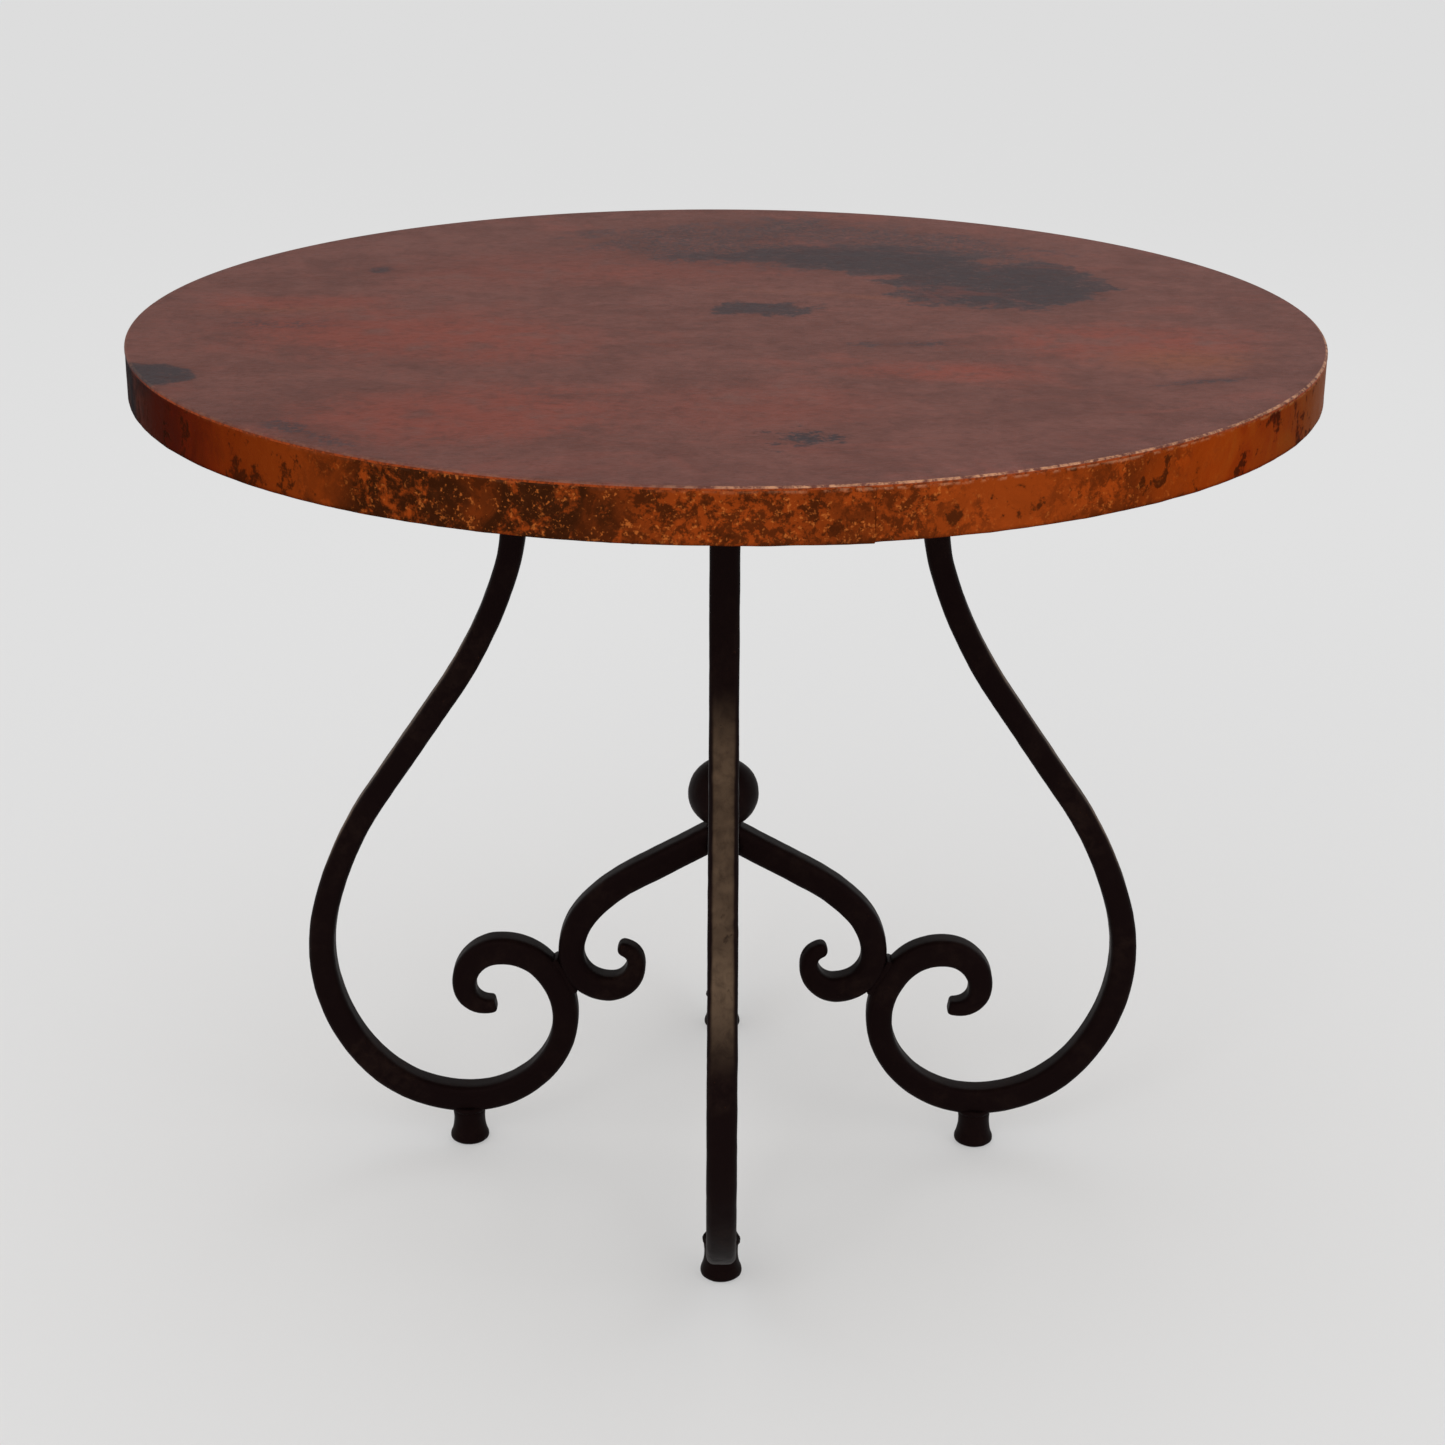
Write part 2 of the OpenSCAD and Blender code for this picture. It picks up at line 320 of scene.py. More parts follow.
class Smith:
    """Draws a bar out along arcs and straights in the x-z plane, from one open end."""

    def __init__(self, name, start, heading, thickness, width, corner, pitch=0.006):
        self.at = Vector((start[0], 0, start[1]))
        self.heading = heading
        self.thickness = thickness
        self.width = width
        self.pitch = pitch
        nothing_selected()
        bpy.ops.mesh.primitive_plane_add(
            size=1, location=self.at, rotation=(0, math.radians(90 - heading), 0))
        self.piece = bpy.context.object
        self.piece.scale = (thickness, width, 1)
        settle(self.piece, name)
        bpy.ops.object.mode_set(mode="EDIT")
        bpy.ops.mesh.select_all(action="SELECT")
        bpy.ops.mesh.bevel(offset=corner, offset_type="OFFSET", segments=4, affect="VERTICES")
        bpy.ops.mesh.delete(type="ONLY_FACE")
        bpy.ops.mesh.select_all(action="SELECT")
        bpy.ops.mesh.subdivide(number_cuts=1)
        bpy.ops.mesh.select_all(action="SELECT")

    def size_to(self, thickness, width):
        """Draws the open end down to a new thickness and width."""
        k = thickness / self.thickness
        w = width / self.width
        if abs(k - 1) > 1e-6 or abs(w - 1) > 1e-6:
            bpy.ops.transform.resize(value=(k, w, k), center_override=self.at)
        self.thickness = thickness
        self.width = width

    def along(self, radius, turn, thickness, width=None):
        """One arc of turn degrees (left is positive), ending at the given thickness."""
        width = self.width if width is None else width
        count = max(2, round(radius * math.radians(abs(turn)) / self.pitch))
        part = math.radians(turn) / count
        t0, w0 = self.thickness, self.width
        side = math.copysign(1, turn)
        for i in range(1, count + 1):
            a = math.radians(self.heading)
            centre = self.at + Vector((-math.sin(a), 0, math.cos(a))) * radius * side
            bpy.ops.mesh.spin(steps=1, dupli=False, angle=part, center=centre, axis=(0, 1, 0))
            self.at = centre + Matrix.Rotation(part, 3, (0, -1, 0)) @ (self.at - centre)
            self.heading += math.degrees(part)
            share = i / count
            self.size_to(t0 + (thickness - t0) * share, w0 + (width - w0) * share)

    def onward(self, distance, thickness):
        """A straight run, ending at the given thickness."""
        count = max(1, round(distance / self.pitch))
        t0 = self.thickness
        a = math.radians(self.heading)
        stride = Vector((math.cos(a), 0, math.sin(a))) * distance / count
        for i in range(1, count + 1):
            bpy.ops.mesh.extrude_region_move(TRANSFORM_OT_translate={"value": stride})
            self.at = self.at + stride
            self.size_to(t0 + (thickness - t0) * i / count, self.width)

    def nose(self, reach, flat):
        """Rounds the end off over reach and closes it."""
        t, w = self.thickness, self.width
        steps = 4
        a = math.radians(self.heading)
        went = 0.0
        for i in range(1, steps + 1):
            angle = math.radians(90) * i / steps
            far = reach * math.sin(angle)
            share = flat + (1 - flat) * math.cos(angle)
            stride = Vector((math.cos(a), 0, math.sin(a))) * (far - went)
            bpy.ops.mesh.extrude_region_move(TRANSFORM_OT_translate={"value": stride})
            self.at = self.at + stride
            went = far
            self.size_to(t * share, w * share)
        self.close()

    def close(self):
        """A flat end face."""
        bpy.ops.mesh.edge_face_add()
        bpy.ops.mesh.poke()
        bpy.ops.object.mode_set(mode="OBJECT")

    def reopen(self, start, heading, thickness, width):
        """Selects the other open end, to draw the bar out that way."""
        bpy.ops.mesh.select_mode(type="VERT")
        bpy.ops.mesh.select_all(action="DESELECT")
        bpy.ops.object.mode_set(mode="OBJECT")
        mesh = self.piece.data
        normal = Vector((math.cos(math.radians(heading)), 0, math.sin(math.radians(heading))))
        for vertex in mesh.vertices:
            offset = vertex.co - Vector((start[0], 0, start[1]))
            vertex.select = abs(offset.dot(normal)) < 1e-5 and offset.length < width
        self.at = Vector((start[0], 0, start[1]))
        self.heading = heading
        self.thickness = thickness
        self.width = width
        bpy.ops.object.mode_set(mode="EDIT")


def leg_bar(sizes):
    """One leg at the table's right: out, up and under the top, and in to the scroll's tip."""
    bar = sizes.bar
    slim = bar * RUN_SHARE
    low = (FOOT_X, LOW_Z + bar / 2)
    smith = Smith("leg", low, 0, bar, BAR_W, sizes.corner)
    smith.along(SWEEP_R, 50, bar)
    smith.along(BELLY_R, 54, bar * 0.90)
    smith.along(EASE_R, 20, slim)
    smith.onward(RISE, slim)
    smith.along(WAIST_R, -16, slim)
    smith.along(NECK_R, -18, bar * BACK_SHARE)
    smith.onward(RING_Z - smith.at.z, bar)
    bpy.ops.mesh.edge_face_add()
    smith.reopen(low, 180, bar, BAR_W)
    smith.along(BOWL_R, -BOWL_TURN, bar * BACK_SHARE)
    smith.along(BACK_R, -75, bar)
    smith.along(SHOULDER_R, -56, bar * 1.05)
    smith.along(CROWN_R, -90, bar * 0.84)
    smith.along(TIP_R, -93, bar * 0.56, BAR_W * 0.80)
    smith.nose(0.004, 0.62)
    return smith.piece


def curl_centre(sizes):
    """Centre of the arm's curl, from the centre of the bend that it leans on."""
    turn = math.radians(BOWL_TURN)
    back = Vector((
        FOOT_X - BOWL_R * math.sin(turn) + BACK_R * math.sin(turn),
        0,
        LOW_Z + sizes.bar / 2 + BOWL_R * (1 - math.cos(turn)) + BACK_R * math.cos(turn)))
    apart = BACK_R + CURL_R + LEAN_SHARE * (sizes.bar + sizes.arm_bar) / 2 - BITE
    return back + Vector((-math.cos(LEAN), 0, math.sin(LEAN))) * apart


def arm_bar(sizes):
    """One arm at the table's right: up to the hub, and down round its hook."""
    bar = sizes.arm_bar
    plumb = bar * PLUMB_SHARE
    curl = curl_centre(sizes)
    start = (curl.x + CURL_R, curl.z)
    smith = Smith("arm", start, 90, plumb, ARM_W, sizes.corner, pitch=0.005)
    smith.along(BOW_R, 41, bar)
    smith.along(REACH_R, 20, bar * REACH_SHARE)
    left = (smith.at.x - HUB_W / 2 + bar / 4) / abs(math.cos(math.radians(smith.heading)))
    smith.onward(left, bar * REACH_SHARE)
    bpy.ops.mesh.edge_face_add()
    smith.reopen(start, -90, plumb, ARM_W)
    smith.along(CURL_R, -90, bar * 1.04)
    smith.along(INNER_R, -90, bar * 0.70, ARM_W * 0.92)
    smith.along(HOOK_R, -76, bar * 0.58, ARM_W * 0.72)
    smith.nose(0.0060, 0.30)
    only(smith.piece)
    bpy.ops.object.mode_set(mode="EDIT")
    bpy.ops.mesh.select_all(action="SELECT")
    bpy.ops.mesh.bisect(plane_co=(HUB_W / 2, 0, 0), plane_no=(-1, 0, 0), clear_outer=True,
                        use_fill=True)
    bpy.ops.object.mode_set(mode="OBJECT")
    return smith.piece


# ------------------------------------------------------------------ finishes

class Value:
    """One output socket of a finish. Sums, products and powers of it add Math nodes."""

    def __init__(self, finish, socket):
        self.finish = finish
        self.socket = socket

    def maths(self, operation, *terms):
        """A Math node on the given terms."""
        return self.finish.add("ShaderNodeMath", {"operation": operation}, dict(enumerate(terms)))

    def __add__(self, other):
        return self.maths("ADD", self, other)

    def __sub__(self, other):
        return self.maths("SUBTRACT", self, other)

    def __rsub__(self, other):
        return self.maths("SUBTRACT", other, self)

    def __mul__(self, other):
        return self.maths("MULTIPLY", self, other)

    def __truediv__(self, other):
        return self.maths("DIVIDE", self, other)

    def __pow__(self, other):
        return self.maths("POWER", self, other)

    __radd__ = __add__
    __rmul__ = __mul__

    def __abs__(self):
        return self.maths("ABSOLUTE", self)

    def larger(self, other):
        """The larger of the two at each point."""
        return self.maths("MAXIMUM", self, other)

    def between(self, low, high):
        """0 below low, 1 above high and a soft step between; turned over when low > high."""
        settings = {"interpolation_type": "SMOOTHSTEP"}
        if low > high:
            inputs = {"Value": self, "From Min": high, "From Max": low, "To Min": 1.0, "To Max": 0.0}
        else:
            inputs = {"Value": self, "From Min": low, "From Max": high}
        return self.finish.add("ShaderNodeMapRange", settings, inputs)


class Finish:
    """A material in the making: every node comes from add, and done() closes it."""

    def __init__(self, name):
        """Starts a material and splits its Object coordinates."""
        self.material = bpy.data.materials.new(name)
        self.material.use_nodes = True
        self.tree = self.material.node_tree
        self.shader = self.tree.nodes["Principled BSDF"]
        self.place = self.add("ShaderNodeTexCoord", {}, {}, "Object")
        parts = self.node("ShaderNodeSeparateXYZ", {}, {0: self.place})
        self.x, self.y, self.z = (Value(self, s) for s in parts.outputs)

    def put(self, socket, value):
        """Links a Value to a socket, or sets a plain colour or number on it."""
        if isinstance(value, Value):
            self.tree.links.new(value.socket, socket)
        elif hasattr(socket.default_value, "__len__") and len(socket.default_value) == 4:
            socket.default_value = (*value, 1.0)
        else:
            socket.default_value = value

    def node(self, kind, settings, inputs):
        """A new node of a kind, with its settings and then its inputs."""
        node = self.tree.nodes.new(kind)
        for key, value in settings.items():
            setattr(node, key, value)
        for key, value in inputs.items():
            self.put(node.inputs[key], value)
        return node

    def add(self, kind, settings, inputs, output=0):
        """One output of a new node."""
        return Value(self, self.node(kind, settings, inputs).outputs[output])

    def mix(self, share, first, second):
        """Colour mix; share 0 gives the first."""
        return self.add("ShaderNodeMix", {"data_type": "RGBA"}, {0: share, 6: first, 7: second}, 2)

    def noise(self, scale, detail, roughness, distortion=0.0, vector=None):
        """Cloudy noise round 0.5; scale counts its lumps in a metre."""
        inputs = {"Vector": vector or self.place, "Scale": scale, "Detail": detail,
                  "Roughness": roughness, "Distortion": distortion}
        return self.add("ShaderNodeTexNoise", {}, inputs)

    def cells(self, scale):
        """Rounded cells, like small hammer marks or pits."""
        inputs = {"Vector": self.place, "Scale": scale, "Randomness": 1.0}
        return self.add("ShaderNodeTexVoronoi", {"feature": "SMOOTH_F1"}, inputs, "Distance")

    def stretched(self, size, turn, centre=(0.0, 0.0, 0.0)):
        """Object coordinates centred on a point, turned about Z and divided by size."""
        moved = self.add("ShaderNodeVectorMath", {"operation": "SUBTRACT"},
                         {0: self.place, 1: centre})
        spun = self.add("ShaderNodeVectorRotate", {"rotation_type": "Z_AXIS"},
                        {"Vector": moved, "Angle": -turn})
        return self.add("ShaderNodeVectorMath", {"operation": "DIVIDE"}, {0: spun, 1: size})

    def blot(self, centre, size, turn, ragged, warp, core):
        """A ragged patch round a point of the top: 1 inside, fading out past its size."""
        local = self.stretched((size[0], size[1], 1.0), turn, (*centre, TOP_Z))
        reach = self.add("ShaderNodeVectorMath", {"operation": "LENGTH"}, {0: local}, "Value")
        edge = reach + (warp - 0.5) * ragged
        return edge.between(1.0, core)

    def radius(self):
        """Distance from the table's axis."""
        return (self.x ** 2.0 + self.y ** 2.0) ** 0.5

    def turn(self):
        """Angle round the table's axis, from the right, between -pi and pi."""
        return self.y.maths("ARCTAN2", self.y, self.x)

    def facing_out(self, radius):
        """How squarely the surface faces away from the table's axis, 1 when straight out."""
        geometry = self.node("ShaderNodeNewGeometry", {}, {})
        parts = self.node("ShaderNodeSeparateXYZ", {}, {0: Value(self, geometry.outputs["Normal"])})
        out_x, out_y = Value(self, parts.outputs[0]), Value(self, parts.outputs[1])
        return (out_x * self.x + out_y * self.y) / radius

    def bump(self, height, strength, distance):
        """Small relief for the shader's normal."""
        inputs = {"Height": height, "Strength": strength, "Distance": distance}
        return self.add("ShaderNodeBump", {}, inputs, "Normal")

    def done(self, **sockets):
        """Fills the shader's sockets, named with underscores for spaces."""
        for key, value in sockets.items():
            self.put(self.shader.inputs[key.replace("_", " ")], value)
        return self.material


def most(*masks):
    """The larger of several masks at each point."""
    first = masks[0]
    for other in masks[1:]:
        first = first.larger(other)
    return first


def top_finish(colours):
    """Waxed red-brown patina with slate heat marks, red and orange patches and a painted highlight
    along the worn rim, strongest at the front right.
    """
    f = Finish("copper_top_patina")
    radius = f.radius()
    coarse = f.noise(7.0, 6.0, 0.62, 0.4)
    medium = f.noise(28.0, 6.0, 0.65, 0.3)
    fine = f.noise(120.0, 5.0, 0.6)
    along = f.stretched((1.0, 0.62, 1.0), math.radians(-4))
    streaks = f.noise(11.0, 8.0, 0.66, 0.5, along)
    grit = f.noise(520.0, 3.0, 0.6)
    flecks = f.noise(230.0, 5.0, 0.75, 0.3)
    ragged = (coarse - 0.5) * 0.7 + (medium - 0.5) * 1.0 + (flecks - 0.5) * 0.9
    ragged = ragged + (streaks - 0.5) * 0.5 + 0.5

    red = most(
        f.blot((-0.25, -0.06), (0.20, 0.12), -0.2, 1.3, ragged, 0.35),
        f.blot((-0.20, -0.30), (0.18, 0.11), 0.2, 1.3, ragged, 0.35),
        f.blot((0.17, -0.165), (0.12, 0.045), 0.0, 1.2, ragged, 0.3),
        f.blot((0.31, -0.06), (0.15, 0.09), 0.1, 1.3, ragged, 0.3),
        f.blot((-0.12, 0.20), (0.30, 0.10), 0.05, 1.3, ragged, 0.2) * 0.6,
        f.blot((-0.36, 0.06), (0.12, 0.045), 0.1, 1.3, ragged, 0.2) * 0.8,
        f.blot((0.02, -0.27), (0.16, 0.10), 0.1, 1.3, ragged, 0.2) * 0.5)
    orange = most(
        f.blot((0.36, -0.125), (0.085, 0.055), 0.0, 1.5, ragged, 0.1),
        f.blot((-0.37, 0.035), (0.09, 0.018), 0.1, 1.4, ragged, 0.1) * 0.5,
        f.blot((0.10, 0.10), (0.17, 0.014), -0.25, 1.6, ragged, 0.1) * 0.5)
    slate = most(
        f.blot((0.235, 0.140), (0.125, 0.125), 0.25, 1.1, ragged, 0.5),
        f.blot((0.13, 0.245), (0.17, 0.085), -0.25, 1.2, ragged, 0.4),
        f.blot((0.07, 0.300), (0.30, 0.160), -0.1, 1.0, ragged, 0.5) * 0.5,
        f.blot((0.02, 0.255), (0.13, 0.045), 0.0, 1.6, ragged, 0.2) * 0.85,
        f.blot((0.06, 0.40), (0.20, 0.09), 0.0, 1.5, ragged, 0.1) * 0.55,
        f.blot((0.030, 0.045), (0.055, 0.038), 0.1, 3.0, ragged, 0.1) * 0.85,
        f.blot((0.15, -0.075), (0.12, 0.028), 0.05, 1.7, ragged, 0.1) * 0.5,
        f.blot((0.057, -0.360), (0.036, 0.022), 0.2, 3.6, ragged, 0.2),
        f.blot((-0.305, 0.195), (0.030, 0.028), 0.0, 1.7, ragged, 0.2) * 0.7,
        f.blot((-0.445, -0.190), (0.050, 0.045), 0.0, 0.7, ragged, 0.6),
        f.blot((-0.30, -0.35), (0.13, 0.030), -0.75, 1.7, ragged, 0.1) * 0.55,
        f.blot((-0.36, -0.02), (0.10, 0.04), 0.0, 1.5, ragged, 0.1) * 0.4,
        f.blot((0.37, -0.19), (0.09, 0.014), 0.35, 1.6, ragged, 0.1) * 0.5)
    mood = streaks * 0.35 + coarse * 0.30 + medium * 0.35
    base = f.mix(mood.between(0.42, 0.60), tuple(c * 1.06 for c in colours.top),
                 tuple(c * 0.82 for c in colours.top))
    base = f.mix(red * medium.between(0.30, 0.55) * 0.95, base, colours.top_red)
    base = f.mix(orange * medium.between(0.30, 0.60) * 0.7, base, colours.top_orange)
    crust = slate + (flecks - 0.5) * 2.2 * (0.25 + slate.between(0.02, 0.30))
    slate_share = slate * 0.35 + crust.between(0.32, 0.60) * slate.between(0.02, 0.20) * 0.65
    base = f.mix(slate_share * 0.95, base, colours.top_slate)
    pepper = f.noise(330.0, 4.0, 0.75).between(0.58, 0.68) * (0.20 + 0.55 * slate.between(0.05, 0.5))
    base = f.mix(pepper, base, tuple(c * 0.30 for c in colours.top))
    scale = f.noise(95.0, 7.0, 0.82, 0.3)
    base = f.mix(scale.between(0.52, 0.58) * 0.30, base, tuple(c * 0.45 for c in colours.top))
    base = f.mix(scale.between(0.44, 0.39) * 0.20, base, tuple(c * 1.7 for c in colours.top))
    ash = f.noise(24.0, 7.0, 0.75, 0.6, along).between(0.52, 0.64)
    base = f.mix(ash * 0.24, base, tuple(c * 0.5 for c in colours.top))
    bloom = f.noise(9.0, 7.0, 0.72, 0.5, along).between(0.53, 0.66)
    base = f.mix(bloom * 0.22, base, tuple(c * 1.3 for c in colours.top_red))
    angle = f.turn()
    left_end = abs(angle).between(math.radians(148), math.radians(164))
    lip = f.z.between(TOP_Z - 0.0009, TOP_Z - 0.0018)
    edge = f.mix(flecks.between(0.47, 0.56) * 0.6, colours.apron, colours.apron_dark)
    edge = f.mix(left_end * 0.9, edge, colours.apron_ink)
    base = f.mix(lip * 0.9, base, edge)
    # Painted highlight: a thin bright copper line along the worn rim, painted strongest at the front
    # right and faint elsewhere.
    rim = radius.between(TOP_R - 0.0024, TOP_R - 0.0012) * (1.0 - lip)
    near_front = abs(angle + math.radians(46)).between(math.radians(52), math.radians(38))
    painted_highlight = rim * f.noise(140.0, 5.0, 0.75).between(0.40, 0.60) * (0.12 + 0.88 * near_front)
    base = f.mix(painted_highlight * 0.8, base, colours.worn)
    pits = f.cells(330.0)
    height = medium * 0.30 + fine * 0.35 + grit * 0.15 + pits * 0.15 + scale * 0.60
    rough = 0.50 + 0.12 * (medium - 0.5) + 0.10 * slate - 0.16 * painted_highlight
    return f.done(Base_Color=base, Metallic=0.6, Roughness=rough, Specular_IOR_Level=0.1,
                  Specular_Tint=(0.45, 0.42, 0.42), Normal=f.bump(height, 0.6, 0.0020))


def apron_finish(colours):
    """Orange-brown copper, speckled dark by heat round the front, inky left and gold right, with
    painted glints, painted shade on the left and a painted highlight along the top edge.
    """
    f = Finish("copper_apron_patina")
    angle = f.turn()
    depth = (TOP_Z - f.z) / (TOP_Z - APRON_Z)
    coarse = f.noise(22.0, 5.0, 0.6, 0.6)
    medium = f.noise(75.0, 6.0, 0.68, 0.5)
    fine = f.noise(190.0, 5.0, 0.72)
    beads = f.cells(240.0)

    def arc(middle, half, soft=0.10):
        """1 within half degrees of middle, counted from the right, with a ragged edge."""
        away = abs(angle - math.radians(middle)) + (coarse - 0.5) * 0.5
        return away.between(math.radians(half) + soft, math.radians(half) - soft)

    speckled = most(arc(-97, 26), arc(-56, 6) * 0.8, arc(-80, 9), arc(60, 40) * 0.9,
                    arc(150, 12) * 0.7, arc(5, 8) * 0.6)
    dark_zone = most(arc(-116, 9), arc(-105, 9), arc(-55, 4) * 0.7, arc(-80, 3.5) * 0.8,
                     arc(75, 22) * 0.7)
    gold = arc(-14, 20, 0.2)
    inky = most(arc(180, 22), arc(-180, 22))
    # Painted shade: the apron's left side darkened towards its end.
    shade = most(arc(-152, 14, 0.20), arc(-138, 12, 0.25) * 0.55)

    base = f.mix(coarse.between(0.35, 0.70), colours.apron,
                 tuple(c * 0.78 for c in colours.apron))
    base = f.mix(gold * 0.75, base, colours.apron_gold)
    grain = medium * 0.5 + fine * 0.5
    mottle = grain.between(0.46, 0.54) * speckled
    clots = coarse * 0.45 + medium * 0.35 + fine * 0.20
    blotches = most(dark_zone * clots.between(0.41, 0.50), clots.between(0.535, 0.585) * 0.85)
    base = f.mix(most(mottle * 0.72, blotches * 0.95), base, colours.apron_dark)
    # Painted glints: bright orange specks painted into the colour, thickest where the apron is
    # speckled.
    sparks = f.noise(330.0, 3.0, 0.6) * 0.7 + f.noise(60.0, 3.0, 0.6) * 0.3
    painted_glints = sparks.between(0.55, 0.65) * (0.10 + 0.90 * speckled)
    base = f.mix(painted_glints * 0.7, base, (0.62, 0.165, 0.030))
    # Painted shade on the apron's left side.
    base = f.mix(shade * 0.80, base, colours.apron_dark)
    base = f.mix(inky * 0.95, base, colours.apron_ink)
    # Painted highlight: bright copper painted along the apron's top edge under the lip, mostly round
    # the front.
    brim_highlight = (depth + (medium - 0.5) * 0.10).between(0.135, 0.085)
    brim_highlight = brim_highlight * f.noise(90.0, 4.0, 0.7).between(0.42, 0.58) * (0.1 + 0.9 * arc(-46, 42, 0.2))
    base = f.mix(brim_highlight * 0.35, base, colours.worn)
    foot = (depth + (medium - 0.5) * 0.08).between(0.90, 0.99)
    base = f.mix(foot * 0.55, base, colours.apron_dark)
    height = medium * 0.5 + beads * 0.5 * speckled + fine * (0.12 + 0.5 * speckled)
    rough = 0.40 + 0.18 * mottle + 0.12 * (medium - 0.5) + 0.10 * blotches + 0.15 * inky
    return f.done(Base_Color=base, Metallic=0.95, Roughness=rough, Specular_IOR_Level=0.2,
                  Specular_Tint=(0.30, 0.27, 0.25), Normal=f.bump(height, 0.6, 0.0016))


def iron_finish(colours, name="forged_iron", brown=0.5):
    """Oil-blackened iron: scaly and browner where the oil is thin, with a painted sheen on the legs'
    outward faces partway up.
    """
    f = Finish(name)
    coarse = f.noise(18.0, 5.0, 0.6, 0.3)
    scale = f.noise(95.0, 6.0, 0.65, 0.4)
    fine = f.noise(420.0, 4.0, 0.6)
    planished = f.cells(70.0)
    bloom = coarse.between(0.42, 0.72) * scale.between(0.35, 0.65)
    base = f.mix(bloom * brown, colours.iron, colours.iron_brown)
    radius = f.radius()
    # Painted sheen: lighter brown painted on the legs' outward faces between the belly and the neck,
    # standing in for a reflection.
    facing = f.facing_out(radius)
    front = facing.between(0.72, 0.93) * radius.between(0.16, 0.19)
    front = front * f.z.between(0.245, 0.335) * f.z.between(0.52, 0.44)
    front = front * (0.6 + 0.4 * scale.between(0.30, 0.60))
    base = f.mix(front, base, colours.iron_rubbed)
    base = f.mix(scale.between(0.62, 0.74) * 0.6, base, tuple(c * 0.5 for c in colours.iron))
    rust = f.noise(160.0, 4.0, 0.7).between(0.66, 0.74) * coarse.between(0.5, 0.65)
    base = f.mix(rust * 0.5, base, (0.10, 0.035, 0.014))
    height = planished * 0.45 + scale * 0.35 + fine * 0.12
    rough = 0.46 + 0.16 * (scale - 0.5) + 0.10 * (coarse - 0.5)
    return f.done(Base_Color=base, Metallic=0.25, Roughness=rough, Specular_IOR_Level=0.05,
                  Specular_Tint=(0.30, 0.24, 0.22), Normal=f.bump(height, 0.5, 0.0010))


def wood_finish(colours, name, turn, tint):
    """Bare sawn wood with long grain and darker pores."""
    f = Finish(name)
    grain_place = f.stretched((6.0, 0.35, 0.5), turn)
    waves = f.noise(9.0, 4.0, 0.6, 1.6, grain_place)
    rings = waves.maths("SINE", waves * 22.0)
    pores = f.noise(150.0, 3.0, 0.6, 0.0, grain_place).between(0.56, 0.66)
    stain = f.noise(5.0, 4.0, 0.6).between(0.5, 0.75)
    wood = tuple(c * tint for c in colours.wood)
    base = f.mix(rings.between(-0.6, 1.0) * 0.5, wood, tuple(c * 0.62 for c in wood))
    base = f.mix(pores * 0.6, base, tuple(c * 0.35 for c in wood))
    base = f.mix(stain * 0.35, base, tuple(c * 0.5 for c in wood))
    return f.done(Base_Color=base, Roughness=0.72 + 0.1 * pores,
                  Normal=f.bump(waves + pores * -0.5, 0.35, 0.0008))


def steel_finish():
    """Plain steel screw heads, dulled."""
    f = Finish("screw_steel")
    dull = f.noise(300.0, 4.0, 0.6)
    base = f.mix(dull.between(0.4, 0.7), (0.42, 0.40, 0.37), (0.20, 0.18, 0.16))
    return f.done(Base_Color=base, Metallic=0.9, Roughness=0.35 + 0.3 * dull)


def tack_finish(colours):
    """Dulled copper tack heads."""
    f = Finish("tack_copper")
    dull = f.noise(260.0, 4.0, 0.6)
    base = f.mix(dull.between(0.4, 0.65), colours.apron, colours.apron_dark)
    return f.done(Base_Color=base, Metallic=0.8, Roughness=0.35 + 0.3 * dull)


def floor_finish(colours):
    """Even pale floor, with a faint glow of its own that keeps the shadows soft."""
    f = Finish("studio_floor")
    return f.done(Base_Color=tuple(colours.floor), Roughness=0.9, Specular_IOR_Level=0.0,
                  Emission_Color=(1.0, 1.0, 1.0), Emission_Strength=0.335)


class Palette:
    """The table's colours as plain tuples."""

    def __init__(self, settings):
        for name in TableColours.__annotations__:
            setattr(self, name, tuple(getattr(settings, name)))


FINISHES = {}


def finish(name):
    """A finish by name, made once."""
    if name not in FINISHES:
        colours = Palette(bpy.context.scene.table_colours)
        makers = {
            "top": lambda: top_finish(colours),
            "apron": lambda: apron_finish(colours),
            "iron": lambda: iron_finish(colours),
            "weld": lambda: iron_finish(colours, "weld_iron", 0.3),
            "plywood": lambda: wood_finish(colours, "plywood", 0.0, 0.9),
            "pine": lambda: wood_finish(colours, "pine_rim", math.radians(45), 1.0),
            "steel": steel_finish,
            "tack": lambda: tack_finish(colours),
            "floor": lambda: floor_finish(colours),
        }
        FINISHES[name] = makers[name]()
    return FINISHES[name]


# ------------------------------------------------------------------ operators

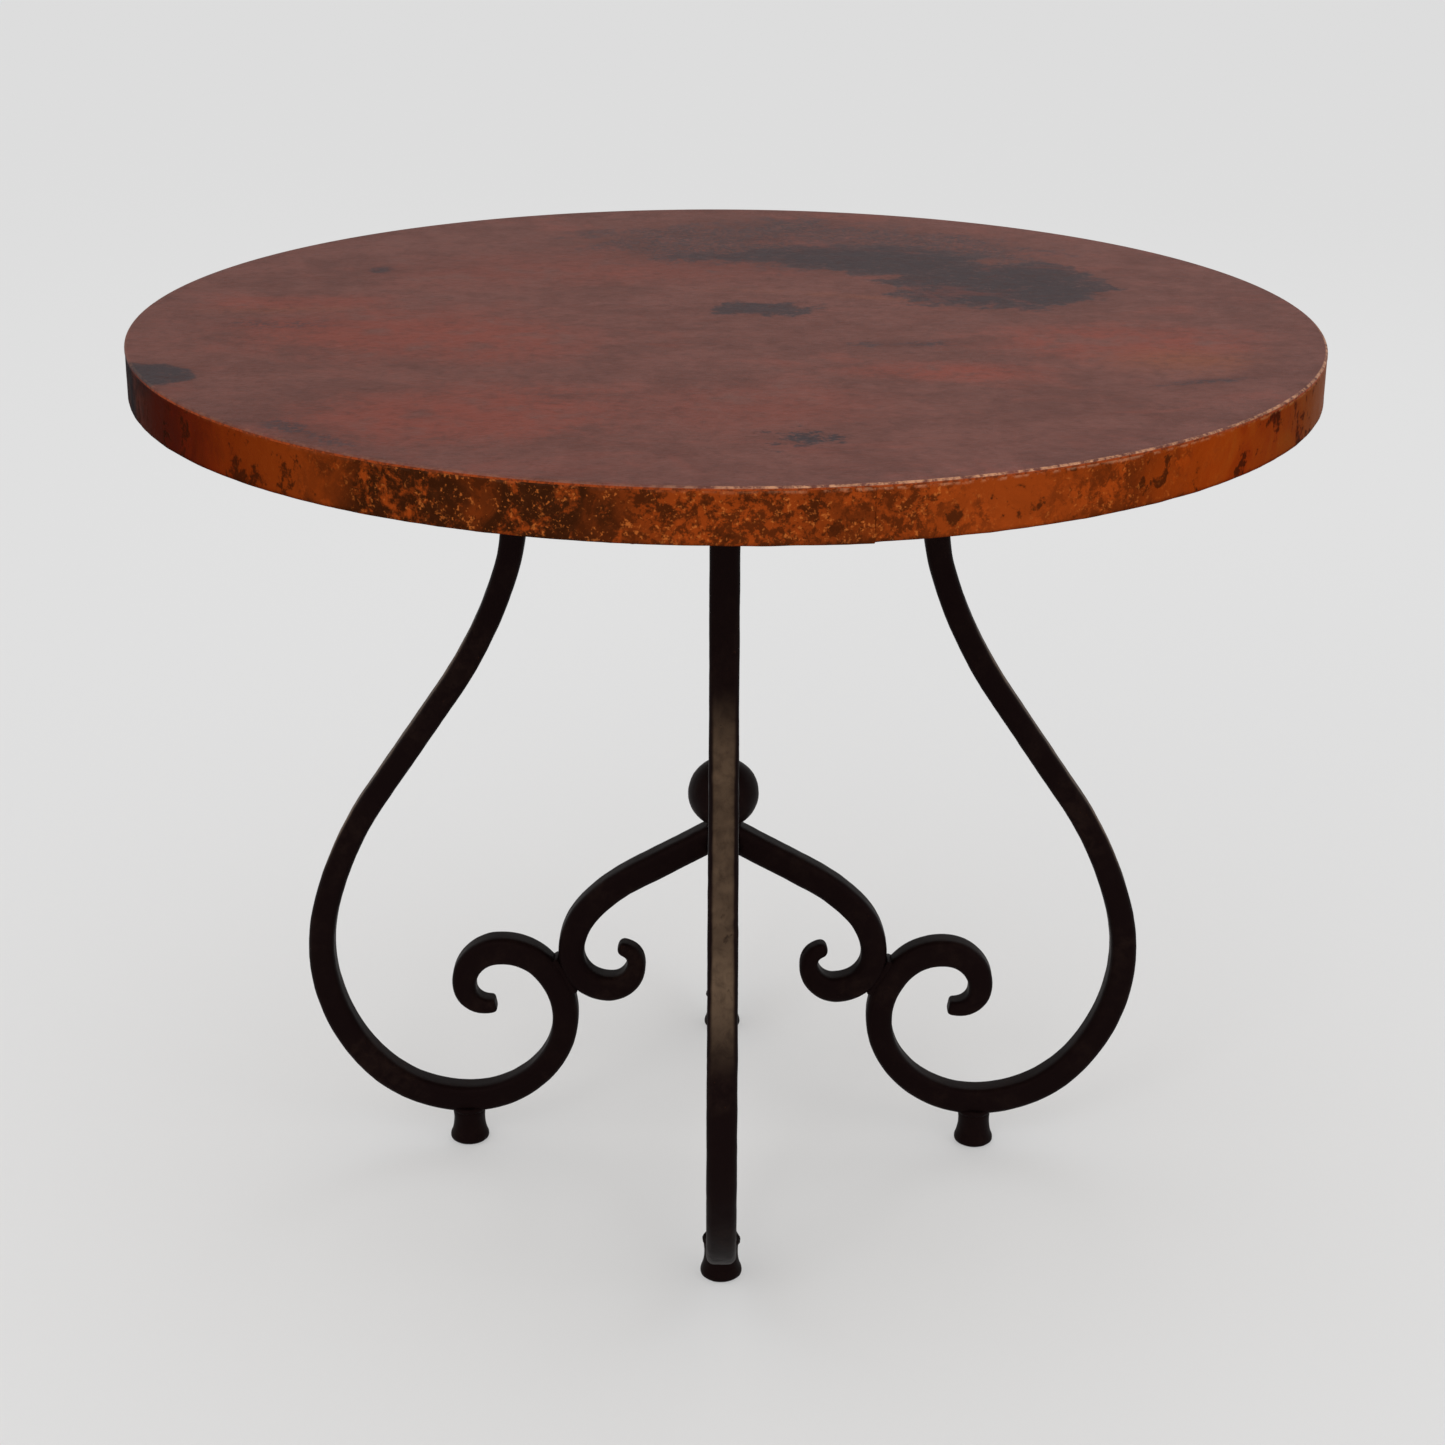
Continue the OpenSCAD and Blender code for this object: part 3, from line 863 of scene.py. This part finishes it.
class TABLE_OT_top(bpy.types.Operator):
    """Beats the copper sheet over the core and turns its edge down"""
    bl_idname = "table.top"
    bl_label = "Copper top"

    def execute(self, context):
        sizes = context.scene.table_sizes
        lip = sizes.lip
        nothing_selected()
        bpy.ops.mesh.primitive_circle_add(
            vertices=256, radius=TOP_R, location=(0, 0, TOP_Z - lip), fill_type="NOTHING")
        top = settle(bpy.context.object, "copper_top")
        bpy.ops.object.mode_set(mode="EDIT")
        bpy.ops.mesh.select_all(action="SELECT")
        rings = [(TOP_R, TOP_Z - TOP_FOLD)]
        for i in range(1, 5):
            a = math.radians(90) * i / 4
            rings.append((TOP_R - TOP_FOLD * (1 - math.cos(a)),
                          TOP_Z - TOP_FOLD * (1 - math.sin(a))))
        spacing = 0.006
        flat = TOP_R - TOP_FOLD
        count = int(flat / spacing)
        for i in range(1, count):
            rings.append((flat - i * flat / count, TOP_Z))
        walk_rings(TOP_R, TOP_Z - lip, rings)
        bpy.ops.mesh.edge_face_add()
        bpy.ops.mesh.poke()
        bpy.ops.object.mode_set(mode="OBJECT")
        outward(top)
        self.wave(top, sizes.waviness)
        apply_modifier(top, "SOLIDIFY", thickness=SHEET, offset=-1.0)
        smooth(top, 60)
        deliver(top, "top_copper", finish("top"), "copper_top_sheet")
        return {"FINISHED"}

    def wave(self, top, depth):
        """Slow hollows beaten into the sheet, which die out at the rim."""
        group = top.vertex_groups.new(name="field")
        for vertex in top.data.vertices:
            radius = math.hypot(vertex.co.x, vertex.co.y)
            share = min(1.0, max(0.0, (TOP_R - 0.002 - radius) / 0.02))
            group.add([vertex.index], share, "REPLACE")
        for share, size in ((1.0, 0.13), (0.35, 0.022)):
            hammered(top, depth * share, size, 1.0, vertex_group="field", direction="Z")


class TABLE_OT_apron(bpy.types.Operator):
    """Bends the apron strip round the rim, laps its seam and folds its hem under"""
    bl_idname = "table.apron"
    bl_label = "Copper apron"

    def execute(self, context):
        sizes = context.scene.table_sizes
        fold = APRON_FOLD
        inner = TOP_R - SHEET - HEM
        nothing_selected()
        bpy.ops.mesh.primitive_circle_add(
            vertices=512, radius=inner, location=(0, 0, APRON_Z), fill_type="NOTHING")
        apron = settle(bpy.context.object, "copper_apron")
        bpy.ops.object.mode_set(mode="EDIT")
        bpy.ops.mesh.select_all(action="SELECT")
        rings = [(TOP_R - 0.009, APRON_Z), (TOP_R - fold, APRON_Z)]
        for i in range(1, 5):
            a = math.radians(90) * i / 4
            rings.append((TOP_R - fold + fold * math.sin(a), APRON_Z + fold * (1 - math.cos(a))))
        top = TOP_Z - sizes.lip + 0.0006
        count = 10
        for i in range(1, count + 1):
            rings.append((TOP_R, APRON_Z + fold + (top - APRON_Z - fold) * i / count))
        walk_rings(inner, APRON_Z, rings)
        self.split(sizes.seam)
        bpy.ops.object.mode_set(mode="OBJECT")
        outward(apron)
        self.flip_if_inside_out(apron)
        self.lap(apron, sizes.seam, sizes.lap)
        self.dent(apron)
        apply_modifier(apron, "SOLIDIFY", thickness=SHEET * 0.8, offset=-1.0)
        smooth(apron, 50)
        deliver(apron, "apron_copper", finish("apron"), "apron_band")
        return {"FINISHED"}

    def split(self, seam):
        """Two close cuts across the strip at the seam."""
        for shift in (-0.0004, 0.0004):
            at = seam + shift / TOP_R
            bpy.ops.mesh.select_all(action="SELECT")
            bpy.ops.mesh.bisect(plane_co=(0, 0, 0), plane_no=(-math.sin(at), math.cos(at), 0))

    def flip_if_inside_out(self, apron):
        """An open strip has no inside, so the wall's normals are checked by hand."""
        wall = [p for p in apron.data.polygons if abs(p.normal.z) < 0.2]
        if sum(p.normal.dot(Vector((p.center.x, p.center.y, 0))) for p in wall) < 0:
            only(apron)
            bpy.ops.object.mode_set(mode="EDIT")
            bpy.ops.mesh.select_all(action="SELECT")
            bpy.ops.mesh.flip_normals()
            bpy.ops.object.mode_set(mode="OBJECT")

    def lap(self, apron, seam, depth):
        """Drops the under end of the strip by the lap and eases it back out."""
        ease = math.radians(7)
        for vertex in apron.data.vertices:
            radius = math.hypot(vertex.co.x, vertex.co.y)
            if radius < TOP_R - 0.004:
                continue
            past = math.atan2(vertex.co.y, vertex.co.x) - seam
            past = (past + math.pi) % (2 * math.pi) - math.pi
            if abs(past) >= ease:
                continue
            share = 0.5 + 0.5 * math.cos(math.pi * past / ease)
            step = -0.4 if past > 0.0002 / TOP_R else 0.6
            k = 1 + depth * step * share / radius
            vertex.co.x *= k
            vertex.co.y *= k
            if past <= 0 and vertex.co.z < APRON_Z + 0.004:
                vertex.co.z -= 0.0006 * share

    def dent(self, apron):
        """Shallow planishing marks over the wall, none at the hem."""
        group = apron.vertex_groups.new(name="wall")
        for vertex in apron.data.vertices:
            radius = math.hypot(vertex.co.x, vertex.co.y)
            group.add([vertex.index], 1.0 if radius > TOP_R - 0.003 else 0.0, "REPLACE")
        hammered(apron, 0.0007, 0.020, 1.0, vertex_group="wall")


class TABLE_OT_legs(bpy.types.Operator):
    """Forges one scroll leg and copies it round the table"""
    bl_idname = "table.legs"
    bl_label = "Scroll legs"

    def execute(self, context):
        sizes = context.scene.table_sizes
        leg = leg_bar(sizes)
        outward(leg)
        rounder(leg)
        hammered(leg, sizes.hammer, 0.030)
        hammered(leg, sizes.hammer * 0.5, 0.009)
        smooth(leg, 60)
        deliver_round(leg, "scroll_leg_", "iron", "leg_")
        return {"FINISHED"}


class TABLE_OT_arms(bpy.types.Operator):
    """Forges one scroll arm and copies it round the hub"""
    bl_idname = "table.arms"
    bl_label = "Scroll arms"

    def execute(self, context):
        sizes = context.scene.table_sizes
        arm = arm_bar(sizes)
        outward(arm)
        rounder(arm)
        hammered(arm, sizes.hammer, 0.026)
        hammered(arm, sizes.hammer * 0.5, 0.009)
        smooth(arm, 60)
        deliver_round(arm, "scroll_arm_", "iron", "arm_")
        return {"FINISHED"}


class TABLE_OT_feet(bpy.types.Operator):
    """Turns one flared foot stub and copies it under the legs"""
    bl_idname = "table.feet"
    bl_label = "Foot stubs"

    def execute(self, context):
        sizes = context.scene.table_sizes
        neck = FOOT_R - 0.0025
        top = FOOT_HIGH.z
        profile = [
            (FOOT_R * 0.80, 0.0005), (FOOT_R * 0.93, 0.0010), (FOOT_R, 0.0026), (FOOT_R, 0.0058),
            (FOOT_R - 0.0009, 0.0080), (neck + 0.0004, 0.0110), (neck - 0.0008, 0.0180),
            (neck - 0.0010, 0.0240), (neck, top - 0.0030), (neck - 0.0012, top - 0.0012),
            (neck * 0.72, top)]
        foot = turned("foot", (FOOT_X, 0), profile, 40)
        rounder(foot)
        hammered(foot, sizes.hammer, 0.012)
        smooth(foot, 50)
        deliver_round(foot, "foot_stub_", "iron", "foot_")
        return {"FINISHED"}


class TABLE_OT_ball(bpy.types.Operator):
    """Forges the ball that crowns the hub"""
    bl_idname = "table.ball"
    bl_label = "Ball"

    def execute(self, context):
        sizes = context.scene.table_sizes
        radius = (span("ball", 0)[1] - span("ball", 0)[0]) / 2
        middle = BALL_TOP - radius
        rings = 20
        low = math.asin((BALL_SEAT - middle) / radius)
        profile = []
        for i in range(rings):
            a = low + (math.radians(90) - low) * i / rings
            profile.append((radius * math.cos(a), middle + radius * math.sin(a)))
        ball = turned("ball_finial", (0, 0), profile, 56)
        hammered(ball, sizes.hammer * 1.4, 0.016)
        hammered(ball, sizes.hammer * 0.6, 0.006)
        smooth(ball, 50)
        deliver(ball, "forged_iron", finish("iron"), "ball")
        return {"FINISHED"}


class TABLE_OT_welds(bpy.types.Operator):
    """Lays the welds between arm and leg, leg and foot, and round the hub"""
    bl_idname = "table.welds"
    bl_label = "Welds"

    def execute(self, context):
        self.scroll_welds()
        self.foot_welds()
        self.hub_weld()
        return {"FINISHED"}

    def scroll_welds(self):
        """A wedge of weld metal that fills the crotches where an arm leans on its leg."""
        sizes = bpy.context.scene.table_sizes
        reach = CURL_R + LEAN_SHARE * sizes.arm_bar / 2
        at = curl_centre(sizes) + Vector((math.cos(LEAN), 0, -math.sin(LEAN))) * reach
        nothing_selected()
        bpy.ops.mesh.primitive_cube_add(size=1, location=at, rotation=(0, LEAN, 0))
        weld = bpy.context.object
        weld.scale = WEDGE
        settle(weld, "scroll_weld")
        bpy.ops.object.mode_set(mode="EDIT")
        bpy.ops.mesh.select_all(action="SELECT")
        bpy.ops.mesh.bevel(offset=0.0020, segments=2, affect="EDGES")
        bpy.ops.mesh.select_all(action="SELECT")
        bpy.ops.mesh.subdivide(number_cuts=3)
        bpy.ops.object.mode_set(mode="OBJECT")
        outward(weld)
        hammered(weld, 0.0022, 0.006)
        smooth(weld, 60)
        deliver_round(weld, "scroll_weld_", "weld")

    def foot_welds(self):
        """A lumpy bead round the top of each foot stub, against the leg's sides."""
        nothing_selected()
        bpy.ops.mesh.primitive_torus_add(
            location=(FOOT_X, 0, FOOT_HIGH.z - 0.0006), major_radius=FOOT_R - 0.0042,
            minor_radius=FOOT_BEAD, major_segments=64, minor_segments=12)
        bead = settle(bpy.context.object, "foot_weld")
        hammered(bead, 0.0022, 0.005)
        smooth(bead, 70)
        deliver_round(bead, "foot_weld_", "weld")

    def hub_weld(self):
        """Weld metal gathered between the arms' shoulders and the ball."""
        radius = HUB_W / 2 + 0.002
        nothing_selected()
        bpy.ops.mesh.primitive_torus_add(
            location=(0, 0, BALL_SEAT - 0.0002), major_radius=radius * 0.92,
            minor_radius=HUB_BEAD, major_segments=72, minor_segments=12)
        bead = settle(bpy.context.object, "hub_weld")
        hammered(bead, 0.0024, 0.006)
        smooth(bead, 70)
        deliver(bead, "forged_iron", finish("weld"))


class TABLE_OT_underside(bpy.types.Operator):
    """Gives the parts under the top their wood, iron, steel and copper"""
    bl_idname = "table.underside"
    bl_label = "Underside"

    def execute(self, context):
        finishes = {"plywood_core": "plywood", "top_ring": "iron", "hub": "iron",
                    "ring_screws": "steel", "hem_tacks": "tack"}
        for quarter in range(1, 5):
            finishes["rim_quarter_%d" % quarter] = "pine"
        for node, name in finishes.items():
            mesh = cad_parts[node].data
            mesh.materials.clear()
            mesh.materials.append(finish(name))
        return {"FINISHED"}


class TABLE_OT_stage(bpy.types.Operator):
    """Sets the pale floor, the soft lights and the camera"""
    bl_idname = "table.stage"
    bl_label = "Stage"

    def execute(self, context):
        self.floor()
        self.light("key", (-1.2, -2.9, 2.4), (0, 0, 0.5), 1.3, 13)
        self.light("fill", (2.6, -2.2, 1.8), (0, 0, 0.5), 1.2, 7)
        self.light("back", (0.6, 3.0, 2.6), (0, 0, 0.7), 1.4, 6)
        self.surroundings(0.84)
        self.camera()
        context.scene.view_settings.view_transform = "Standard"
        return {"FINISHED"}

    def floor(self):
        """A wide floor under the feet."""
        nothing_selected()
        bpy.ops.mesh.primitive_plane_add(size=240, location=(0, 0, 0))
        floor = settle(bpy.context.object, "studio_floor")
        floor.data.materials.append(finish("floor"))

    def light(self, name, place, target, size, power):
        """A soft round lamp at place, turned to target."""
        data = bpy.data.lights.new(name, "AREA")
        data.shape = "DISK"
        data.size = size
        data.energy = power
        lamp = bpy.data.objects.new(name, data)
        lamp.location = place
        direction = Vector(target) - Vector(place)
        lamp.rotation_euler = direction.to_track_quat("-Z", "Y").to_euler()
        bpy.context.scene.collection.objects.link(lamp)

    def surroundings(self, strength):
        """An even white studio all round."""
        world = bpy.data.worlds.new("studio")
        world.use_nodes = True
        sky = world.node_tree.nodes["Background"]
        sky.inputs["Color"].default_value = (1.0, 1.0, 1.0, 1.0)
        sky.inputs["Strength"].default_value = strength
        bpy.context.scene.world = world

    def camera(self):
        """A long lens, a little above the table."""
        data = bpy.data.cameras.new("camera")
        data.sensor_width = 36.0
        data.lens = LENS
        camera = bpy.data.objects.new("camera", data)
        camera.location = CAMERA_PLACE
        pitch = math.radians(90 - DIP)
        turn = Matrix.Rotation(pitch, 3, "X") @ Matrix.Rotation(math.radians(ROLL), 3, "Z")
        camera.rotation_euler = turn.to_euler()
        bpy.context.scene.collection.objects.link(camera)
        bpy.context.scene.camera = camera


class TABLE_PT_panel(bpy.types.Panel):
    """Sidebar panel with the table's sizes, colours and steps"""
    bl_label = "Copper Scroll Table"
    bl_idname = "TABLE_PT_panel"
    bl_space_type = "VIEW_3D"
    bl_region_type = "UI"
    bl_category = "Table"

    def draw(self, context):
        for group in (context.scene.table_sizes, context.scene.table_colours):
            for name in type(group).__annotations__:
                self.layout.prop(group, name)
        for step in STEPS:
            self.layout.operator(step.bl_idname)


STEPS = (TABLE_OT_stage, TABLE_OT_top, TABLE_OT_apron, TABLE_OT_legs, TABLE_OT_arms,
         TABLE_OT_feet, TABLE_OT_ball, TABLE_OT_welds, TABLE_OT_underside)
CLASSES = (TableSizes, TableColours, *STEPS, TABLE_PT_panel)


def register():
    """Registers the classes and hangs the settings on the scene."""
    for item in CLASSES:
        bpy.utils.register_class(item)
    bpy.types.Scene.table_sizes = bpy.props.PointerProperty(type=TableSizes)
    bpy.types.Scene.table_colours = bpy.props.PointerProperty(type=TableColours)


def unregister():
    """Takes the settings and the classes away again."""
    del bpy.types.Scene.table_colours
    del bpy.types.Scene.table_sizes
    for item in reversed(CLASSES):
        bpy.utils.unregister_class(item)


def main():
    """Runs every step in order."""
    register()
    for step in STEPS:
        group, name = step.bl_idname.split(".")
        getattr(getattr(bpy.ops, group), name)()
    nothing_selected()


if __name__ == "__main__":
    main()
